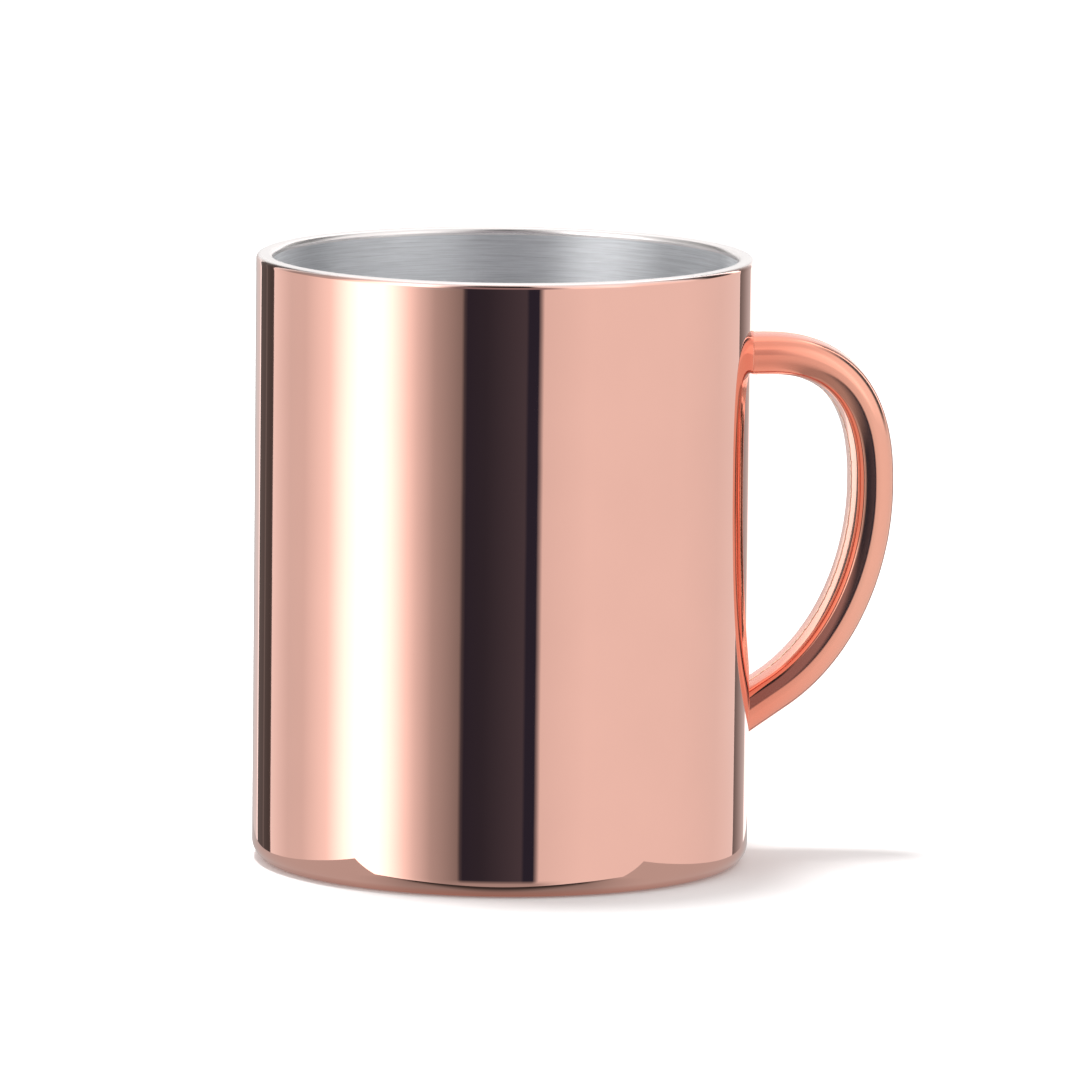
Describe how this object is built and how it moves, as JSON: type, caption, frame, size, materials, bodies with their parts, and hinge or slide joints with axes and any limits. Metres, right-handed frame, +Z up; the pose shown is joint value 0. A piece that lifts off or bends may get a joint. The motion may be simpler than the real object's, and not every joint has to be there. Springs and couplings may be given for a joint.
{
  "type": "drinking mug",
  "caption": "Straight-sided double-walled mug with a polished copper-finished outside, a brushed steel inside and a hollow ear-shaped handle.",
  "frame": {"origin": "on the mug's axis, in the plane of the surface it stands on", "axes": "+Z up along the mug's axis, +X towards the handle, +Y across the handle"},
  "size_m": [0.1043, 0.08, 0.098],
  "materials": {
    "copper_finish": "mirror-polished copper coating over steel sheet",
    "copper_handle": "polished copper coating over pressed steel",
    "copper_lip": "ground and polished, coated",
    "copper_weld": "dressed weld bead, coated",
    "brushed_steel": "brushed around the cup"
  },
  "bodies": {
    "root": {"outer_shell": "copper_finish", "inner_liner": "brushed_steel", "lip_weld": "copper_lip", "base_cover": "copper_finish", "base_weld": "copper_weld", "handle_left_shell": "copper_handle", "handle_right_shell": "copper_handle", "handle_inner_seam_weld": "copper_weld", "handle_outer_seam_weld": "copper_weld", "handle_upper_weld": "copper_weld", "handle_lower_weld": "copper_weld"}
  },
  "joints": []
}
